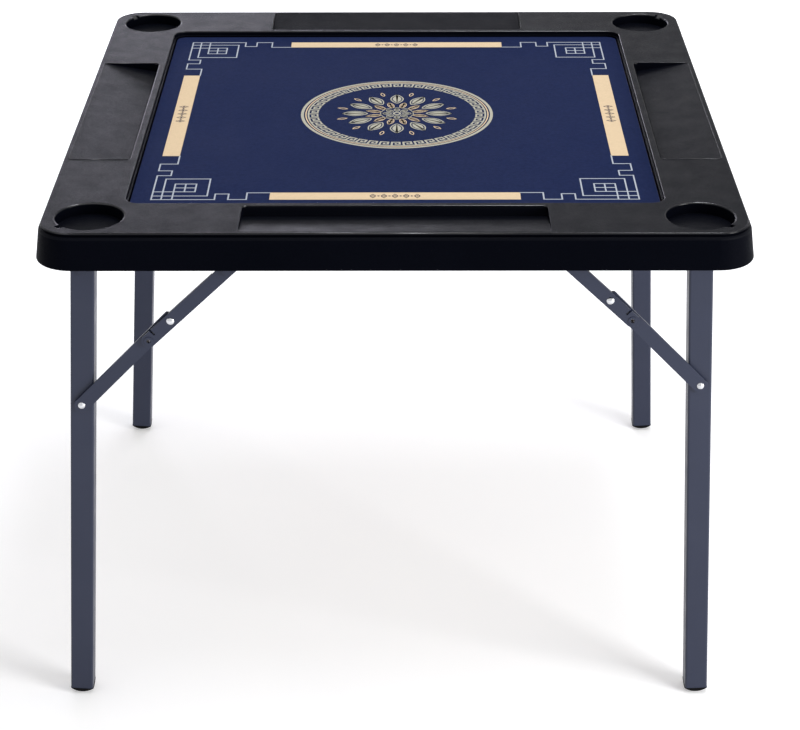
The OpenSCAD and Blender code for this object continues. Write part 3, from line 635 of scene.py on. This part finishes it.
def petals(name, material, count, length, width, reach, line, turn=0, heart=True):
    """A ring of outlined petals, with filled hearts unless they are left out."""
    bm = bmesh.new()
    shape = Matrix.Translation((0, reach, 0)) @ Matrix.Diagonal((width / 2, length / 2, 1, 1))
    made = bmesh.ops.create_circle(bm, cap_ends=True, segments=32, radius=1.0, matrix=shape)
    for vert in made["verts"]:
        along = (vert.co.y - reach) / (length / 2)
        vert.co.x *= 1 - 0.6 * max(0.0, along) ** 2 - 0.4 * max(0.0, -along) ** 2
    face = made["verts"][0].link_faces[0]
    bmesh.ops.inset_individual(bm, faces=[face], thickness=line)
    if heart:
        kept = set(bm.faces)
        bmesh.ops.inset_individual(bm, faces=[face], thickness=line)
        bmesh.ops.delete(bm, geom=[f for f in bm.faces if f not in kept], context="FACES")
    else:
        bmesh.ops.delete(bm, geom=[face], context="FACES_ONLY")
    turn_about_middle(bm, turn)
    repeat_round(bm, count, (0, 0, 0))
    bmesh.ops.translate(bm, verts=bm.verts, vec=RING_CENTRE)
    finish_ring(name, bm, material)


plain_rings("mat_ring_rim", CREAM, (128.6, 132.6, 180))
plain_rings("mat_ring_gilt_line", GOLD, (125.0, 126.6, 180))
key_ring()
petals("mat_rosette_outer", CREAM, count=12, length=36.0, width=19.0, reach=58.0, line=1.7)
petals("mat_rosette_tips", GOLD, count=12, length=15.0, width=6.0, reach=78.0, line=1.2, turn=15,
       heart=False)
petals("mat_rosette_middle", GOLD, count=12, length=23.0, width=9.5, reach=33.0, line=1.2, turn=15)
petals("mat_rosette_inner", CREAM, count=8, length=14.0, width=9.0, reach=14.0, line=1.1)
plain_rings("mat_rosette_rings", CREAM, (3.0, 5.6, 48), (22.0, 23.2, 96))


# Floor, light and camera, in metres

FLOOR_HALF = 14.0
# The floor glows more with its distance from the table, so that it runs out to white
GLOW_NEAR, GLOW_FAR = 1.0, 2.8
NEAR_GLOW, FAR_GLOW = 0.28, 0.68
# Strength of the white surroundings, and what they add where they are seen directly
WORLD_FILL, WORLD_SEEN = 0.58, 0.42
CAMERA_PLACE = (0.0116, -2.7895, 1.7342)
CAMERA_TURNS = ((0.134, "Z"), (62.90, "X"), (-0.110, "Z"))
CAMERA_LENS, CAMERA_SENSOR = 96.2, 36.0


def seen_directly(tree):
    """One for rays from the camera and for rays that mirror or pass through, else zero."""
    paths = node(tree, "ShaderNodeLightPath").outputs
    seen = plus(tree, paths["Is Camera Ray"], paths["Is Glossy Ray"])
    return plus(tree, seen, paths["Is Transmission Ray"], clamp=True)


def pale_floor():
    material, tree, shader, place = new_material("pale_floor")
    speckle = ramp(tree, noise(tree, place, 3.0, 2.0), 0.3, 0.7)
    distance = node(tree, "ShaderNodeVectorMath", operation="LENGTH")
    link(tree, place, distance.inputs[0])
    glow = ramp(tree, distance.outputs["Value"], GLOW_NEAR, GLOW_FAR, NEAR_GLOW, FAR_GLOW)
    set_inputs(tree, shader, Base_Color=mix_colour(tree, speckle, (0.88, 0.88, 0.885), (0.90, 0.90, 0.90)),
               Roughness=0.9, Specular_IOR_Level=0.0, Emission_Color=WHITE,
               Emission_Strength=times(tree, seen_directly(tree), glow))
    return material


def stage_floor():
    bm = bmesh.new()
    bmesh.ops.create_grid(bm, x_segments=1, y_segments=1, size=FLOOR_HALF)
    mesh = bpy.data.meshes.new("floor")
    bm.to_mesh(mesh)
    bm.free()
    mesh.materials.append(pale_floor())
    floor = bpy.data.objects.new("floor", mesh)
    bpy.context.scene.collection.objects.link(floor)


def soft_lamp(name, at, aim, size, power, colour=WHITE):
    data = bpy.data.lights.new(name, "AREA")
    data.shape = "RECTANGLE"
    data.size, data.size_y = size
    data.energy = power
    data.color = colour
    lamp = bpy.data.objects.new(name, data)
    lamp.location = at
    lamp.rotation_euler = (Vector(aim) - Vector(at)).to_track_quat("-Z", "Y").to_euler()
    bpy.context.scene.collection.objects.link(lamp)


def white_world():
    world = bpy.data.worlds.new("studio")
    bpy.context.scene.world = world
    world.use_nodes = True
    tree = world.node_tree
    strength = plus(tree, times(tree, seen_directly(tree), WORLD_SEEN), WORLD_FILL)
    set_inputs(tree, tree.nodes["Background"], Color=WHITE, Strength=strength)


def place_camera():
    data = bpy.data.cameras.new("camera")
    data.lens = CAMERA_LENS
    data.sensor_width = CAMERA_SENSOR
    data.clip_end = 60.0
    camera = bpy.data.objects.new("camera", data)
    matrix = Matrix.Translation(CAMERA_PLACE)
    for degrees, axis in CAMERA_TURNS:
        matrix = matrix @ Matrix.Rotation(math.radians(degrees), 4, axis)
    camera.matrix_world = matrix
    bpy.context.scene.collection.objects.link(camera)
    bpy.context.scene.camera = camera


stage_floor()
soft_lamp("back_lamp", at=(-0.85, 3.2, 1.12), aim=(-0.2, 0.2, 0.7), size=(1.6, 0.6), power=25,
          colour=(0.86, 0.84, 1.0))
soft_lamp("far_lamp", at=(0.3, 2.6, 2.05), aim=(0.2, -0.2, 0.7), size=(0.9, 0.45), power=5,
          colour=(0.88, 0.88, 1.0))
soft_lamp("strip_lamp", at=(0.5, 0.1, 3.3), aim=(0.2, 0, 0.6), size=(2.6, 0.28), power=50,
          colour=(0.92, 0.94, 1.0))
soft_lamp("front_lamp", at=(3.0, -2.1, 1.35), aim=(0.3, 0, 0.4), size=(1.5, 1.3), power=98)
white_world()
place_camera()
bpy.context.scene.view_settings.view_transform = "Standard"
